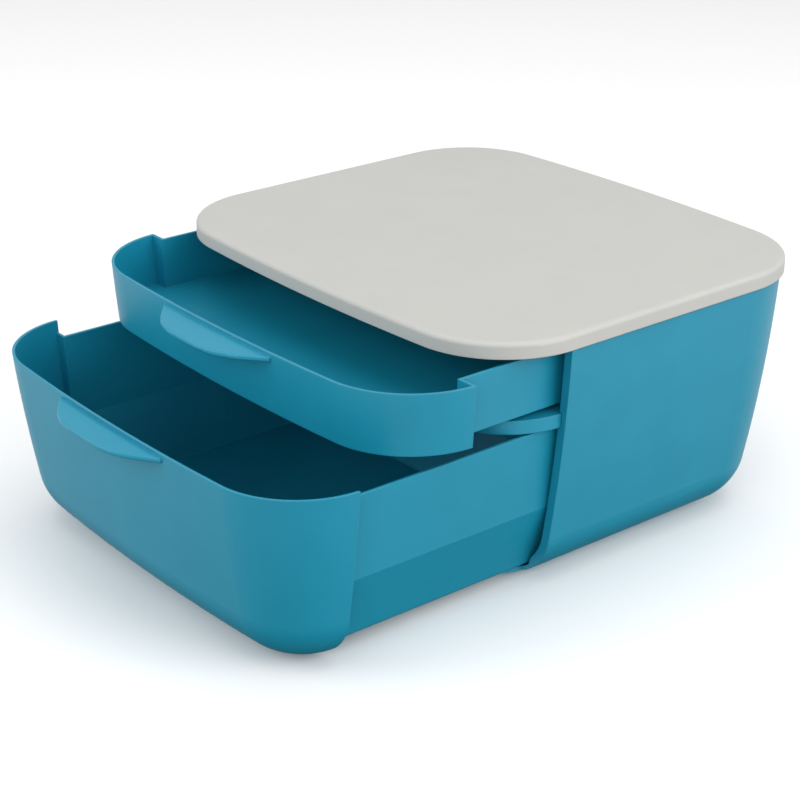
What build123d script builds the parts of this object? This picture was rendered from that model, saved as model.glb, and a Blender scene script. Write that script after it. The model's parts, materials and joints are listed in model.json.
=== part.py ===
"""Desktop file box: a flat lid over a bowl-shaped casing that holds a shallow and a deep drawer.

Millimetres. +Z is up and z = 0 is the desk. The drawers pull out towards -Y, and +X is to the
right of someone who faces them. The drawers are shown part open.
"""
from build123d import *
import math
import os

# lid
lid_width = 368.0
lid_depth = 318.0
lid_thickness = 11.0
lid_corner = 69.0
end_bow = 9.7  # how far the front and back edges bow out past their ends
lid_edge_round = 3.2
lid_skin = 3.0
lid_land = 19.0  # width of the solid band round the lid's underside

# casing
total_height = 190.0
foot_proud = 1.0
side_overhang = 2.5
front_overhang = 5.5
side_draft = 0.05  # lean of the side at the top, as a slope
side_crown = 0.00043  # how fast the side curves in, per mm of depth
heel_radius = 42.0
casing_wall = 3.0
mouth_setback = 74.7  # from the lid's front edge to where the side walls end
mouth_return = 6.5
mouth_return_thickness = 3.0
base_front_inset = 42.2
base_trim_height = 1.2  # height that the base's front edge keeps above its floor between the runners
seat_width = 11.5
seat_thickness = 3.0
ledge_width = 6.0
ledge_thickness = 4.0
body_gap = 1.5  # round the lower drawer where it passes through the mouth

# shelf
shelf_hem_gap = 0.7  # below the upper drawer's hem
shelf_height = 9.6
shelf_skin = 3.0
shelf_edge_gap = 1.8  # between the shelf's edge and a closed drawer's wrapped front
shelf_fit_gap = 0.3

# drawers
drawer_wall = 2.0
drawer_floor = 2.4
front_gap = 0.6  # between a closed drawer's wrapped front and the casing's mouth
slide_gap = 0.3
upper_rim_gap = 4.0  # below the lid
upper_front_height = 42.5
upper_hem_drop = 3.0  # how far the wrapped front hangs below the upper drawer's floor
upper_open = 78.5
lower_rim_gap = 2.2  # below the shelf's top
lower_rear_rim_gap = 1.5  # below the shelf's underside
lower_floor_gap = 4.0  # above the base
lower_slant_height = 52.0
lower_chamfer = 4.0  # height of the slanted bottom edge
lower_open = 165.3
lower_hem_inset = 40.6
upper_body_insets = (13.8, 15.0)
lower_body_insets = (14.2, 20.2, 36.6, 41.4)

# handles
handle_width = 122.0
handle_slant = 30.0  # how far each end runs in from the wall to the front edge
handle_corner = 55.0
upper_handle_reach = 24.0
lower_handle_reach = 20.0
handle_drop = 2.4
handle_lip = 3.6
handle_round = 1.2

# runners, guides and stops
runner_x = 100.0
runner_width = 6.0
base_runner_inset = 50.0
shelf_runner_setback = 8.0
guide_gap = 0.5
guide_width = 2.0
guide_height = 2.3
guide_setback = 17.0
stop_width = 110.0
stop_thickness = 3.0
stop_height = 2.6
heel_setback = 8.0

# ribs under the lid and the shelf
rib_pitch = 42.0
rib_thickness = 1.6
rib_setback = 1.0

# feet
foot_radius = 9.0
foot_recess = 1.0
foot_gap = 0.2
foot_chamfer = 0.4
foot_inset = 76.8  # from the casing's top edge to a foot's centre

# lid screws
screw_radius = 1.5
screw_length = 9.0
screw_head_radius = 2.8
screw_head_height = 1.8
screw_head_round = 0.7
screw_hole_gap = 0.4
thread_gap = 0.05
screw_inset = 7.2
side_screw_count = 3
side_screw_setback = 26.3  # from the mouth to the first screw
rear_screw_x = 80.0

# derived places
lid_under = total_height - lid_thickness
bowl_height = lid_under - foot_proud
bowl_half = lid_width / 2 - side_overhang
bowl_front = -lid_depth / 2 + front_overhang
bowl_back = lid_depth / 2 - side_overhang
bowl_corner = lid_corner - side_overhang
bow_radius = ((lid_width / 2) ** 2 + end_bow**2) / (2 * end_bow)
base_top = foot_proud + casing_wall
mouth_y = mouth_setback - lid_depth / 2
wrap_rear = mouth_y - front_gap
upper_rim = lid_under - upper_rim_gap
upper_hem = upper_rim - upper_front_height
upper_under = upper_hem + upper_hem_drop
shelf_top = upper_hem - shelf_hem_gap
shelf_under = shelf_top - shelf_height
lower_rim = shelf_top - lower_rim_gap
lower_rear_rim = shelf_under - lower_rear_rim_gap
lower_under = base_top + lower_floor_gap
lower_crease = lower_under + lower_slant_height
lower_levels = (lower_rear_rim, lower_crease, lower_under + lower_chamfer, lower_under)
upper_levels = (upper_rim, upper_under)
guide_x = runner_x + runner_width / 2 + guide_gap + guide_width / 2
reach = lid_width + lid_depth


def heel_start():
    """Depth and lean angle where the crowned side runs into the heel arc."""
    lean = 0.0
    for _ in range(30):
        depth = bowl_height - heel_radius * (1 - math.sin(lean))
        lean = math.atan(side_draft + 2 * side_crown * depth)
    return depth, lean


heel_depth, heel_lean = heel_start()
heel_centre_depth = heel_depth - heel_radius * math.sin(heel_lean)
heel_centre_inset = (
    side_draft * heel_depth + side_crown * heel_depth**2 + heel_radius * math.cos(heel_lean)
)


def side_inset(z):
    """How far the casing's side stands in from its top edge at height z, above the heel."""
    depth = lid_under - z
    return side_draft * depth + side_crown * depth**2


def rounded_outline(plane, half, front, back, corner, bow):
    """Closed face with straight sides, bowed front and back edges and round corners."""
    sag = bow - math.sqrt(bow**2 - half**2)
    with BuildSketch(plane) as face:
        with BuildLine():
            ThreePointArc((-half, front + sag), (0, front), (half, front + sag))
            Line((half, front + sag), (half, back - sag))
            ThreePointArc((half, back - sag), (0, back), (-half, back - sag))
            Line((-half, back - sag), (-half, front + sag))
        make_face()
        fillet(face.vertices(), corner)
    return face.sketch


def lid_outline(z, inset):
    """The lid's outline, moved in by inset."""
    return rounded_outline(
        Plane.XY.offset(z),
        lid_width / 2 - inset,
        -lid_depth / 2 + inset,
        lid_depth / 2 - inset,
        lid_corner - inset,
        bow_radius - inset,
    )


def bowl_outline(z, inset, slide=0.0):
    """The casing's top outline, moved in by inset and forward by slide."""
    return rounded_outline(
        Plane((0, -slide, z)),
        bowl_half - inset,
        bowl_front + inset,
        bowl_back - inset,
        bowl_corner - inset,
        bow_radius - side_overhang - inset,
    )


def bowl(skin, slide=0.0, rise=0.0):
    """The casing's outer form, with skin taken off its sides and its underside."""
    side = []
    for share in (0.0, 0.5, 1.0):
        depth = heel_depth * share - rise * (1 - share)
        lean = math.atan(side_draft + 2 * side_crown * depth)
        inset = side_draft * depth + side_crown * depth**2 + skin * math.cos(lean)
        side.append(bowl_outline(lid_under - depth + skin * math.sin(lean), inset, slide))
    heel = []
    for share in (0.0, 0.25, 0.5, 0.75, 1.0):
        turn = heel_lean + (math.pi / 2 - heel_lean) * share
        inset = heel_centre_inset - (heel_radius - skin) * math.cos(turn)
        depth = heel_centre_depth + (heel_radius - skin) * math.sin(turn)
        heel.append(bowl_outline(lid_under - depth, inset, slide))
    with BuildPart() as form:
        loft(side)
        loft(heel)
    return form.part


def block(low, high):
    """Plain block between two opposite corners."""
    size = [b - a for a, b in zip(low, high)]
    with BuildPart() as solid:
        with BuildSketch(Plane((low[0] + size[0] / 2, low[1] + size[1] / 2, low[2]))):
            Rectangle(size[0], size[1])
        extrude(amount=size[2])
    return solid.part


def slab(y_low, y_high, z_low, z_high):
    """Block that is wider than the whole object."""
    return block((-reach, y_low, z_low), (reach, y_high, z_high))


def plate(z_low, z_high, inset, slide=0.0):
    """Upright prism over the casing's top outline, moved in by inset."""
    with BuildPart() as prism:
        add(bowl_outline(z_low, inset, slide))
        extrude(amount=z_high - z_low)
    return prism.part


def shared(form, limit):
    """What two forms have in common."""
    with BuildPart() as piece:
        add(form)
        add(limit, mode=Mode.INTERSECT)
    return piece.part


def less(form, taken):
    """A form with another taken out of it."""
    with BuildPart() as piece:
        add(form)
        add(taken, mode=Mode.SUBTRACT)
    return piece.part


def body_form(levels, insets, slide, skin):
    """Closed form of a drawer's rear body: its plan at each level, lowest last."""
    with BuildPart() as form:
        for top, low, inset_top, inset_low in zip(levels, levels[1:], insets, insets[1:]):
            upper = bowl_outline(top, inset_top + skin, slide)
            loft([upper, bowl_outline(low, inset_low + skin, slide)], ruled=True)
    return form.part


def rib_grid(z_low, z_high, half, front, back):
    """Crossing ribs at an even pitch between two levels."""
    with BuildPart() as grid:
        across = math.ceil(2 * half / rib_pitch)
        along = math.ceil((back - front) / rib_pitch)
        with BuildSketch(Plane((0, (front + back) / 2, z_low))):
            with GridLocations(2 * half / across, 0, across - 1, 1):
                Rectangle(rib_thickness, back - front)
            with GridLocations(0, (back - front) / along, 1, along - 1):
                Rectangle(2 * half, rib_thickness)
        extrude(amount=z_high - z_low)
    return grid.part


def runners(z_low, z_high, front, back):
    """Two long ribs that a drawer slides on."""
    with BuildPart() as ribs:
        with BuildSketch(Plane.XY.offset(z_low)):
            with Locations(*[(side * runner_x, (front + back) / 2) for side in (-1, 1)]):
                Rectangle(runner_width, back - front)
        extrude(amount=z_high - z_low)
    return ribs.part


def stop_lip(z_low):
    """Low bar behind the mouth that a drawer's heel meets when it is pulled right out."""
    low = (-stop_width / 2, mouth_y, z_low - stop_thickness / 2)
    high = (stop_width / 2, mouth_y + stop_thickness, z_low + stop_height)
    return block(low, high)


def screw_places():
    """Plan places of the screws that hold the lid."""
    side_x = bowl_half - screw_inset
    rear_y = bowl_back - screw_inset - rear_screw_x**2 / (2 * bow_radius)
    first_y = mouth_y + side_screw_setback
    pitch = (bowl_back - bowl_corner - first_y) / side_screw_count
    side_ys = [first_y + pitch * number for number in range(side_screw_count)]
    sides = [(side * side_x, y) for y in side_ys for side in (-1, 1)]
    return sides + [(side * rear_screw_x, rear_y) for side in (-1, 1)]


def rods(z_low, z_high, radius):
    """Round rods, one at each lid screw's place."""
    with BuildPart() as set_of_rods:
        with BuildSketch(Plane.XY.offset(z_low)):
            with Locations(*screw_places()):
                Circle(radius)
        extrude(amount=z_high - z_low)
    return set_of_rods.part


def lid_pocket():
    """Space inside the lid's solid band, less the ribs that cross it."""
    half = lid_width / 2 - lid_land
    front = -lid_depth / 2 + lid_land
    back = lid_depth / 2 - lid_land
    with BuildPart() as pocket:
        add(lid_outline(lid_under, lid_land))
        extrude(amount=lid_thickness - lid_skin)
        add(rib_grid(lid_under + rib_setback, total_height, half, front, back), mode=Mode.SUBTRACT)
    return pocket.part


def mouth_frame():
    """Inward return round the mouth, cleared for the lower drawer's body."""
    ring = less(bowl(0), bowl(mouth_return, rise=seat_thickness))
    passage_levels = [level - body_gap for level in lower_levels]
    passage = body_form(passage_levels, lower_body_insets, 0, -body_gap)
    return less(
        shared(ring, slab(mouth_y, mouth_y + mouth_return_thickness, 0, total_height)), passage
    )


def seat():
    """Level flange under the lid, round the sides and the rear."""
    low = lid_under - seat_thickness
    ring = less(plate(low, lid_under, casing_wall / 2), plate(low, lid_under, seat_width))
    return shared(ring, slab(mouth_y, reach, 0, total_height))


def ledge():
    """Level ring that carries the shelf."""
    low = shelf_under - ledge_thickness
    wall = side_inset(shelf_under)
    outer = plate(low, shelf_under, wall + casing_wall / 2)
    ring = less(outer, plate(low, shelf_under, wall + casing_wall + ledge_width))
    return shared(ring, slab(mouth_y + mouth_return_thickness / 2, reach, 0, total_height))


def handle(slide, rim, handle_reach):
    """Ledge on a drawer's front, with slanted sides, round corners and rounded edges."""
    top = rim - handle_drop
    root_y = bowl_front - slide + side_inset(top) + drawer_wall
    front_y = root_y - drawer_wall - handle_reach
    corners = [
        (-handle_width / 2, root_y),
        (-handle_width / 2, root_y - drawer_wall),
        (-handle_width / 2 + handle_slant, front_y),
        (handle_width / 2 - handle_slant, front_y),
        (handle_width / 2, root_y - drawer_wall),
        (handle_width / 2, root_y),
    ]
    with BuildPart() as lip:
        with BuildSketch(Plane.XY.offset(top - handle_lip)) as outline:
            with BuildLine():
                Polyline(*corners, close=True)
            make_face()
            fillet(outline.vertices().group_by(Axis.Y)[0], handle_corner)
        extrude(amount=handle_lip)
        rims = lip.faces().filter_by(Axis.Z).edges()
        fillet(rims.filter_by(lambda edge: edge.center().Y < root_y - drawer_wall / 2), handle_round)
    return lip.part


def under_rails(slide, levels, insets):
    """Guide fins beside the runners, and the heel that meets the stop lip."""
    front = wrap_rear - slide
    rear = bowl_back - slide - insets[-1]
    guide_rear = rear - guide_setback
    with BuildPart() as rails:
        with BuildSketch(Plane.XY.offset(levels[-1] - guide_height)):
            with Locations(*[(side * guide_x, (front + guide_rear) / 2) for side in (-1, 1)]):
                Rectangle(guide_width, guide_rear - front)
            with Locations((0, rear - heel_setback - stop_thickness / 2)):
                Rectangle(stop_width, stop_thickness)
        extrude(amount=guide_height + drawer_floor / 2)
    return rails.part


def tray(slide, hem, rim, levels, insets, handle_reach):
    """A drawer: a wrapped front as wide as the casing, and a narrower body behind it."""
    floor = levels[-1] + drawer_floor
    back = wrap_rear - slide
    inside = bowl(drawer_wall, slide)
    body = body_form(levels, insets, slide, 0)
    hollow = body_form((levels[0] + drawer_wall, *levels[1:]), insets, slide, drawer_wall)
    with BuildPart() as drawer:
        add(shared(bowl(0, slide), slab(-reach, back, hem, rim)))
        add(body)
        add(handle(slide, rim, handle_reach))
        add(shared(inside, slab(-reach, reach, 0, levels[-1])), mode=Mode.SUBTRACT)
        add(shared(inside, slab(-reach, back - drawer_wall, floor, total_height)), mode=Mode.SUBTRACT)
        add(shared(inside, slab(-reach, reach, levels[0], total_height)), mode=Mode.SUBTRACT)
        add(shared(hollow, slab(-reach, reach, floor, total_height)), mode=Mode.SUBTRACT)
        add(under_rails(slide, levels, insets))
    return drawer.part


foot_x = bowl_half - foot_inset
foot_front_y = bowl_front + foot_inset
foot_rear_y = bowl_back - foot_inset
foot_places = {
    "foot_front_left": (-foot_x, foot_front_y),
    "foot_front_right": (foot_x, foot_front_y),
    "foot_rear_left": (-foot_x, foot_rear_y),
    "foot_rear_right": (foot_x, foot_rear_y),
    "foot_centre": (0.0, 0.0),
}

os.makedirs("parts", exist_ok=True)

# lid: a thin skin with a solid band round its underside and crossing ribs inside
with BuildPart() as lid:
    add(lid_outline(lid_under, 0))
    extrude(amount=lid_thickness)
    fillet(lid.faces().sort_by(Axis.Z)[-1].edges(), lid_edge_round)
    add(lid_pocket(), mode=Mode.SUBTRACT)
    hole_top = lid_under + screw_length - seat_thickness + screw_hole_gap
    add(rods(lid_under, hole_top, screw_radius + thread_gap), mode=Mode.SUBTRACT)
lid.part.label = "lid"
export_step(lid.part, "parts/lid.step")

# shelf between the two drawers: skin, skirt and crossing ribs, with the upper drawer's runners
shelf_inset = side_inset(shelf_under) + drawer_wall + shelf_edge_gap
shelf_front = bowl_front + shelf_inset
shelf_back = bowl_back - shelf_inset
with BuildPart() as middle_shelf:
    add(plate(shelf_under, shelf_top, shelf_inset))
    add(plate(shelf_under, shelf_top - shelf_skin, shelf_inset + shelf_skin), mode=Mode.SUBTRACT)
    shelf_ribs = rib_grid(
        shelf_under + rib_setback,
        shelf_top - shelf_skin / 2,
        bowl_half - shelf_inset - shelf_skin / 2,
        shelf_front + shelf_skin / 2,
        shelf_back - shelf_skin / 2,
    )
    add(shared(shelf_ribs, plate(shelf_under, shelf_top, shelf_inset + shelf_skin / 2)))
    add(
        runners(
            shelf_top - shelf_skin / 2,
            upper_under - slide_gap,
            shelf_front + shelf_runner_setback,
            shelf_back - shelf_runner_setback,
        )
    )
    add(stop_lip(shelf_top))
middle_shelf.part.label = "middle_shelf"
export_step(middle_shelf.part, "parts/middle_shelf.step")

# casing: open-fronted bowl with a base plate that reaches out under the lower drawer
with BuildPart() as casing:
    add(bowl(0))
    add(bowl(casing_wall, rise=seat_thickness), mode=Mode.SUBTRACT)
    front_cut = less(slab(-reach, mouth_y, 0, total_height), plate(0, total_height, base_front_inset))
    add(front_cut, mode=Mode.SUBTRACT)
    add(mouth_frame())
    trim_low = (-guide_x - runner_width, -reach, base_top + base_trim_height)
    trim_high = (guide_x + runner_width, mouth_y + mouth_return_thickness, lower_under)
    add(block(trim_low, trim_high), mode=Mode.SUBTRACT)
    add(seat())
    add(rods(lid_under - seat_thickness, lid_under, screw_radius + screw_hole_gap), mode=Mode.SUBTRACT)
    add(ledge())
    notch = plate(shelf_under, shelf_top + shelf_fit_gap, shelf_inset - shelf_fit_gap)
    add(notch, mode=Mode.SUBTRACT)
    add(
        runners(
            base_top - casing_wall / 3,
            lower_under - slide_gap,
            bowl_front + base_runner_inset,
            bowl_back - base_runner_inset,
        )
    )
    add(stop_lip(base_top))
    with BuildSketch(Plane.XY.offset(foot_proud)):
        with Locations(*foot_places.values()):
            Circle(foot_radius + foot_gap)
    extrude(amount=foot_recess, mode=Mode.SUBTRACT)
casing.part.label = "casing"
export_step(casing.part, "parts/casing.step")

# upper drawer: shallow, its wrapped front hanging a little below its floor
with BuildPart() as upper_drawer:
    add(tray(upper_open, upper_hem, upper_rim, upper_levels, upper_body_insets, upper_handle_reach))
upper_drawer.part.label = "upper_drawer"
export_step(upper_drawer.part, "parts/upper_drawer.step")

# lower drawer: deep, its wrapped front following the casing's heel and ending in an open hem
with BuildPart() as lower_drawer:
    add(tray(lower_open, 0, lower_rim, lower_levels, lower_body_insets, lower_handle_reach))
    add(plate(0, lower_under, lower_hem_inset, lower_open), mode=Mode.SUBTRACT)
lower_drawer.part.label = "lower_drawer"
export_step(lower_drawer.part, "parts/lower_drawer.step")

# feet: round pads set into the base
for foot_name, (x, y) in foot_places.items():
    with BuildPart() as foot:
        with BuildSketch(Plane((x, y, 0))):
            Circle(foot_radius)
        extrude(amount=foot_proud + foot_recess)
        chamfer(foot.faces().sort_by(Axis.Z)[0].edges(), foot_chamfer)
    foot.part.label = foot_name
    export_step(foot.part, f"parts/{foot_name}.step")

# screws that hold the lid down from under the seat
with BuildPart() as lid_screws:
    head_top = lid_under - seat_thickness
    add(rods(head_top - screw_head_height, head_top, screw_head_radius))
    fillet(lid_screws.faces().group_by(Axis.Z)[0].edges(), screw_head_round)
    add(rods(head_top, head_top + screw_length, screw_radius))
lid_screws.part.label = "lid_screws"
export_step(lid_screws.part, "parts/lid_screws.step")
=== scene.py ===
"""Looks of the desktop file box: satin teal plastic, matt grey lid, rubber feet, steel screws.

Metres. +Z is up and z = 0 is the desk. The drawers pull out towards -Y.
"""

import json
import math

import bpy
from mathutils import Matrix, Vector

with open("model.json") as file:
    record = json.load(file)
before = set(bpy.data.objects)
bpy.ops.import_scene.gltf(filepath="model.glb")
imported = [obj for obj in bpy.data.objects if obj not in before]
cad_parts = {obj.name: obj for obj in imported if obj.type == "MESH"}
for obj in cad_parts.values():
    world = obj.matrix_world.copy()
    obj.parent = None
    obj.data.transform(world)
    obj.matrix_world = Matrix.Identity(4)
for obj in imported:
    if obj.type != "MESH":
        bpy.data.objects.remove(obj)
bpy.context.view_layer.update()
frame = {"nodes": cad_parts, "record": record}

# camera
camera_place = Vector((1.00366, -0.88769, 0.64770))
camera_heading = math.radians(51.06)  # from +Y towards -X
camera_pitch = math.radians(23.76)  # below level
sensor_width = 36.0  # millimetres, as Blender takes it
focal_length = 88.86  # millimetres

# colours, linear
teal = (0.006, 0.262, 0.395)
teal_deep = (0.005, 0.250, 0.380)
# lighter teal for the edges: partly rubbing, partly a painted highlight where the rims catch the
# light
teal_rubbed_and_highlit = (0.045, 0.315, 0.440)
warm_grey = (0.490, 0.493, 0.466)
warm_grey_deep = (0.479, 0.483, 0.457)
warm_grey_rubbed = (0.530, 0.533, 0.506)
rubber_black = (0.020, 0.020, 0.022)
rubber_dusty = (0.050, 0.050, 0.052)
steel_bright = (0.62, 0.61, 0.58)
steel_dull = (0.42, 0.42, 0.41)
floor_white = (0.97, 0.97, 0.97)

# moulded surfaces
cloud_size = 0.035  # slow drift of the colour
cloud_span = (0.35, 0.65)  # noise between which the colour drifts
grain_size = 0.0006
rubber_grain_size = 0.0009
grain_span = (0.3, 0.7)  # noise between which the roughness or the steel's colour changes
relief_per_grain = 0.25  # depth of the grain over its size
edge_reach = 0.0009  # how far in from an edge it is rubbed, lightened by the painted rim highlight, and rounded
edge_samples = 6
edge_bend = (0.97, 0.75)  # cosines of the bends where an edge begins to show and shows in full
wear_and_highlight_span = (0.35, 0.6)  # noise between which the rubbing and the painted rim highlight grow
wear_and_highlight_share = (0.25, 0.55)  # share of the lighter edge colour on an edge: rubbing, and on the teal also a painted rim highlight

# plated steel
plating_size = 0.0015
plating_roughness = (0.25, 0.42)

# floor and surroundings
floor_half = 9.0
above_glow = 0.65  # surroundings above the horizon
far_glow = 0.95  # surroundings just below the horizon
near_glow = 0.05  # surroundings straight below
dim_span = (-0.72, -0.38)  # heights of the view line between which the surroundings below dim
horizon_span = (-0.1, 0.1)  # the same for the step at the horizon

# lights: place, width, height and power
light_target = (0, -0.05, 0.08)
lights = {
    "overhead": ((0.1, 0.1, 2.2), 2.4, 2.4, 17),
    "right": ((2.0, 0.6, 1.1), 1.6, 1.4, 26),
    "front": ((-1.4, -2.1, 1.2), 1.8, 1.4, 21),
    "fill": ((1.3, -2.0, 1.1), 1.2, 1.0, 10),
}

# places of a mix node's colour sockets, whose names it uses again for other kinds of data
mix_first, mix_second, mix_result = 6, 7, 2


def principled(name):
    """New material, its node tree and its main shader."""
    material = bpy.data.materials.new(name)
    material.use_nodes = True
    nodes = material.node_tree.nodes
    return material, material.node_tree, nodes["Principled BSDF"]


def noise(tree, place, size, detail):
    """Noise over the object's own coordinates, with features about size metres across."""
    texture = tree.nodes.new("ShaderNodeTexNoise")
    texture.inputs["Scale"].default_value = 1 / size
    texture.inputs["Detail"].default_value = detail
    tree.links.new(place, texture.inputs["Vector"])
    return texture.outputs["Fac"]


def ranged(tree, value, span, onto=(0.0, 1.0)):
    """Value stretched from one span onto another and held inside it."""
    node = tree.nodes.new("ShaderNodeMapRange")
    sockets = ("From Min", "From Max", "To Min", "To Max")
    for socket, number in zip(sockets, (*span, *onto)):
        node.inputs[socket].default_value = number
    tree.links.new(value, node.inputs["Value"])
    return node.outputs["Result"]


def mixed(tree, factor, first, second):
    """Colour between two, by a factor. Either may be a fixed colour or a socket."""
    node = tree.nodes.new("ShaderNodeMix")
    node.data_type = "RGBA"
    tree.links.new(factor, node.inputs["Factor"])
    for socket, colour in ((node.inputs[mix_first], first), (node.inputs[mix_second], second)):
        if isinstance(colour, tuple):
            socket.default_value = (*colour, 1)
        else:
            tree.links.new(colour, socket)
    return node.outputs[mix_result]


def edge_factor(tree):
    """1 on sharp edges and 0 on open surfaces, and the normal that is rounded over the edges."""
    rounded = tree.nodes.new("ShaderNodeBevel")
    rounded.samples = edge_samples
    rounded.inputs["Radius"].default_value = edge_reach
    geometry = tree.nodes.new("ShaderNodeNewGeometry")
    dot = tree.nodes.new("ShaderNodeVectorMath")
    dot.operation = "DOT_PRODUCT"
    tree.links.new(rounded.outputs["Normal"], dot.inputs[0])
    tree.links.new(geometry.outputs["Normal"], dot.inputs[1])
    return ranged(tree, dot.outputs["Value"], edge_bend), rounded.outputs["Normal"]


def moulded(name, colour, deep, edge_wear_and_highlight, roughness, spread, bump, grain=grain_size):
    """Moulded plastic or rubber: drifting colour, lighter edges and a fine grain. The lighter
    edges are rubbing, and on the teal also a painted highlight on the rims.
    """
    material, tree, shader = principled(name)
    place = tree.nodes.new("ShaderNodeTexCoord").outputs["Object"]
    clouds = noise(tree, place, cloud_size, detail=3)
    speckle = noise(tree, place, grain, detail=2)
    edges, normal = edge_factor(tree)
    base = mixed(tree, ranged(tree, clouds, cloud_span), colour, deep)
    # sharp edges turn lighter: rubbing, and on the teal also a painted highlight on the rims
    wear_and_highlight = tree.nodes.new("ShaderNodeMath")
    wear_and_highlight.operation = "MULTIPLY"
    tree.links.new(edges, wear_and_highlight.inputs[0])
    tree.links.new(ranged(tree, clouds, wear_and_highlight_span, wear_and_highlight_share), wear_and_highlight.inputs[1])
    worn_and_highlit = mixed(tree, wear_and_highlight.outputs["Value"], base, edge_wear_and_highlight)
    tree.links.new(worn_and_highlit, shader.inputs["Base Color"])
    gloss = ranged(tree, speckle, grain_span, (roughness - spread, roughness + spread))
    tree.links.new(gloss, shader.inputs["Roughness"])
    relief = tree.nodes.new("ShaderNodeBump")
    relief.inputs["Strength"].default_value = bump
    relief.inputs["Distance"].default_value = grain * relief_per_grain
    tree.links.new(speckle, relief.inputs["Height"])
    tree.links.new(normal, relief.inputs["Normal"])
    tree.links.new(relief.outputs["Normal"], shader.inputs["Normal"])
    return material, shader


def teal_plastic():
    """Satin plastic of the casing, the shelf and the drawers."""
    material, shader = moulded(
        "teal_plastic", teal, teal_deep, teal_rubbed_and_highlit, roughness=0.42, spread=0.05, bump=0.10
    )
    shader.inputs["IOR"].default_value = 1.5
    shader.inputs["Specular IOR Level"].default_value = 0.5
    return material


def lid_plastic():
    """Matt warm grey plastic of the lid."""
    material, shader = moulded(
        "lid_plastic",
        warm_grey,
        warm_grey_deep,
        warm_grey_rubbed,
        roughness=0.58,
        spread=0.06,
        bump=0.14,
    )
    shader.inputs["IOR"].default_value = 1.46
    return material


def foot_rubber():
    """Black rubber of the feet, a little dusty on its edges."""
    material, shader = moulded(
        "foot_rubber",
        rubber_black,
        rubber_dusty,
        rubber_dusty,
        roughness=0.75,
        spread=0.08,
        bump=0.25,
        grain=rubber_grain_size,
    )
    shader.inputs["Specular IOR Level"].default_value = 0.35
    return material


def screw_steel():
    """Plated steel of the lid screws."""
    material, tree, shader = principled("screw_steel")
    place = tree.nodes.new("ShaderNodeTexCoord").outputs["Object"]
    plating = noise(tree, place, plating_size, detail=4)
    colour = mixed(tree, ranged(tree, plating, grain_span), steel_bright, steel_dull)
    tree.links.new(colour, shader.inputs["Base Color"])
    gloss = ranged(tree, plating, grain_span, plating_roughness)
    tree.links.new(gloss, shader.inputs["Roughness"])
    shader.inputs["Metallic"].default_value = 1.0
    return material


def dress(materials):
    """Gives each CAD node the material of its slot in the record."""
    for part in frame["record"]["subparts"]:
        piece = frame["nodes"][part["node"]]
        piece.data.materials.clear()
        piece.data.materials.append(materials[part["material_slot"]])


def floor():
    """Plain white floor under the box, which throws no light back onto it."""
    mesh = bpy.data.meshes.new("floor")
    signs = ((-1, -1), (1, -1), (1, 1), (-1, 1))
    corners = [(x * floor_half, y * floor_half, 0) for x, y in signs]
    mesh.from_pydata(corners, [], [(0, 1, 2, 3)])
    plane = bpy.data.objects.new("floor", mesh)
    bpy.context.scene.collection.objects.link(plane)
    material, _, shader = principled("floor_white")
    shader.inputs["Base Color"].default_value = (*floor_white, 1)
    shader.inputs["Roughness"].default_value = 0.9
    shader.inputs["Specular IOR Level"].default_value = 0.0
    mesh.materials.append(material)
    plane.visible_diffuse = False
    plane.visible_glossy = False


def softbox(name, place, width, height, power):
    """Rectangular studio light that faces the box."""
    light = bpy.data.lights.new(name, "AREA")
    light.shape = "RECTANGLE"
    light.size = width
    light.size_y = height
    light.energy = power
    lamp = bpy.data.objects.new(name, light)
    lamp.location = place
    aim = Vector(light_target) - Vector(place)
    lamp.rotation_euler = aim.to_track_quat("-Z", "Y").to_euler()
    bpy.context.scene.collection.objects.link(lamp)


def studio():
    """Lights, and surroundings that glow by the height of the view line."""
    for name, (place, width, height, power) in lights.items():
        softbox(name, place, width, height, power)
    world = bpy.data.worlds.new("studio")
    world.use_nodes = True
    tree = world.node_tree
    background = tree.nodes["Background"]
    background.inputs["Color"].default_value = (1, 1, 1, 1)
    sight = tree.nodes.new("ShaderNodeTexCoord").outputs["Generated"]
    split = tree.nodes.new("ShaderNodeSeparateXYZ")
    tree.links.new(sight, split.inputs["Vector"])
    rise = split.outputs["Z"]
    glow = tree.nodes.new("ShaderNodeMath")
    glow.operation = "MULTIPLY"
    below = ranged(tree, rise, dim_span, (near_glow, far_glow))
    above = ranged(tree, rise, horizon_span, (1.0, above_glow / far_glow))
    tree.links.new(below, glow.inputs[0])
    tree.links.new(above, glow.inputs[1])
    tree.links.new(glow.outputs["Value"], background.inputs["Strength"])
    bpy.context.scene.world = world
    bpy.context.scene.view_settings.view_transform = "Standard"


def camera():
    """Camera at the photograph's place and angle."""
    lens = bpy.data.cameras.new("camera")
    lens.sensor_width = sensor_width
    lens.lens = focal_length
    eye = bpy.data.objects.new("camera", lens)
    look = Vector(
        (
            -math.sin(camera_heading) * math.cos(camera_pitch),
            math.cos(camera_heading) * math.cos(camera_pitch),
            -math.sin(camera_pitch),
        )
    )
    turn = look.to_track_quat("-Z", "Y").to_matrix().to_4x4()
    eye.matrix_world = Matrix.Translation(camera_place) @ turn
    bpy.context.scene.collection.objects.link(eye)
    bpy.context.scene.camera = eye


teal_material = teal_plastic()
dress(
    {
        "casing_plastic": teal_material,
        "drawer_plastic": teal_material,
        "lid_plastic": lid_plastic(),
        "foot_rubber": foot_rubber(),
        "screw_steel": screw_steel(),
    }
)
floor()
studio()
camera()
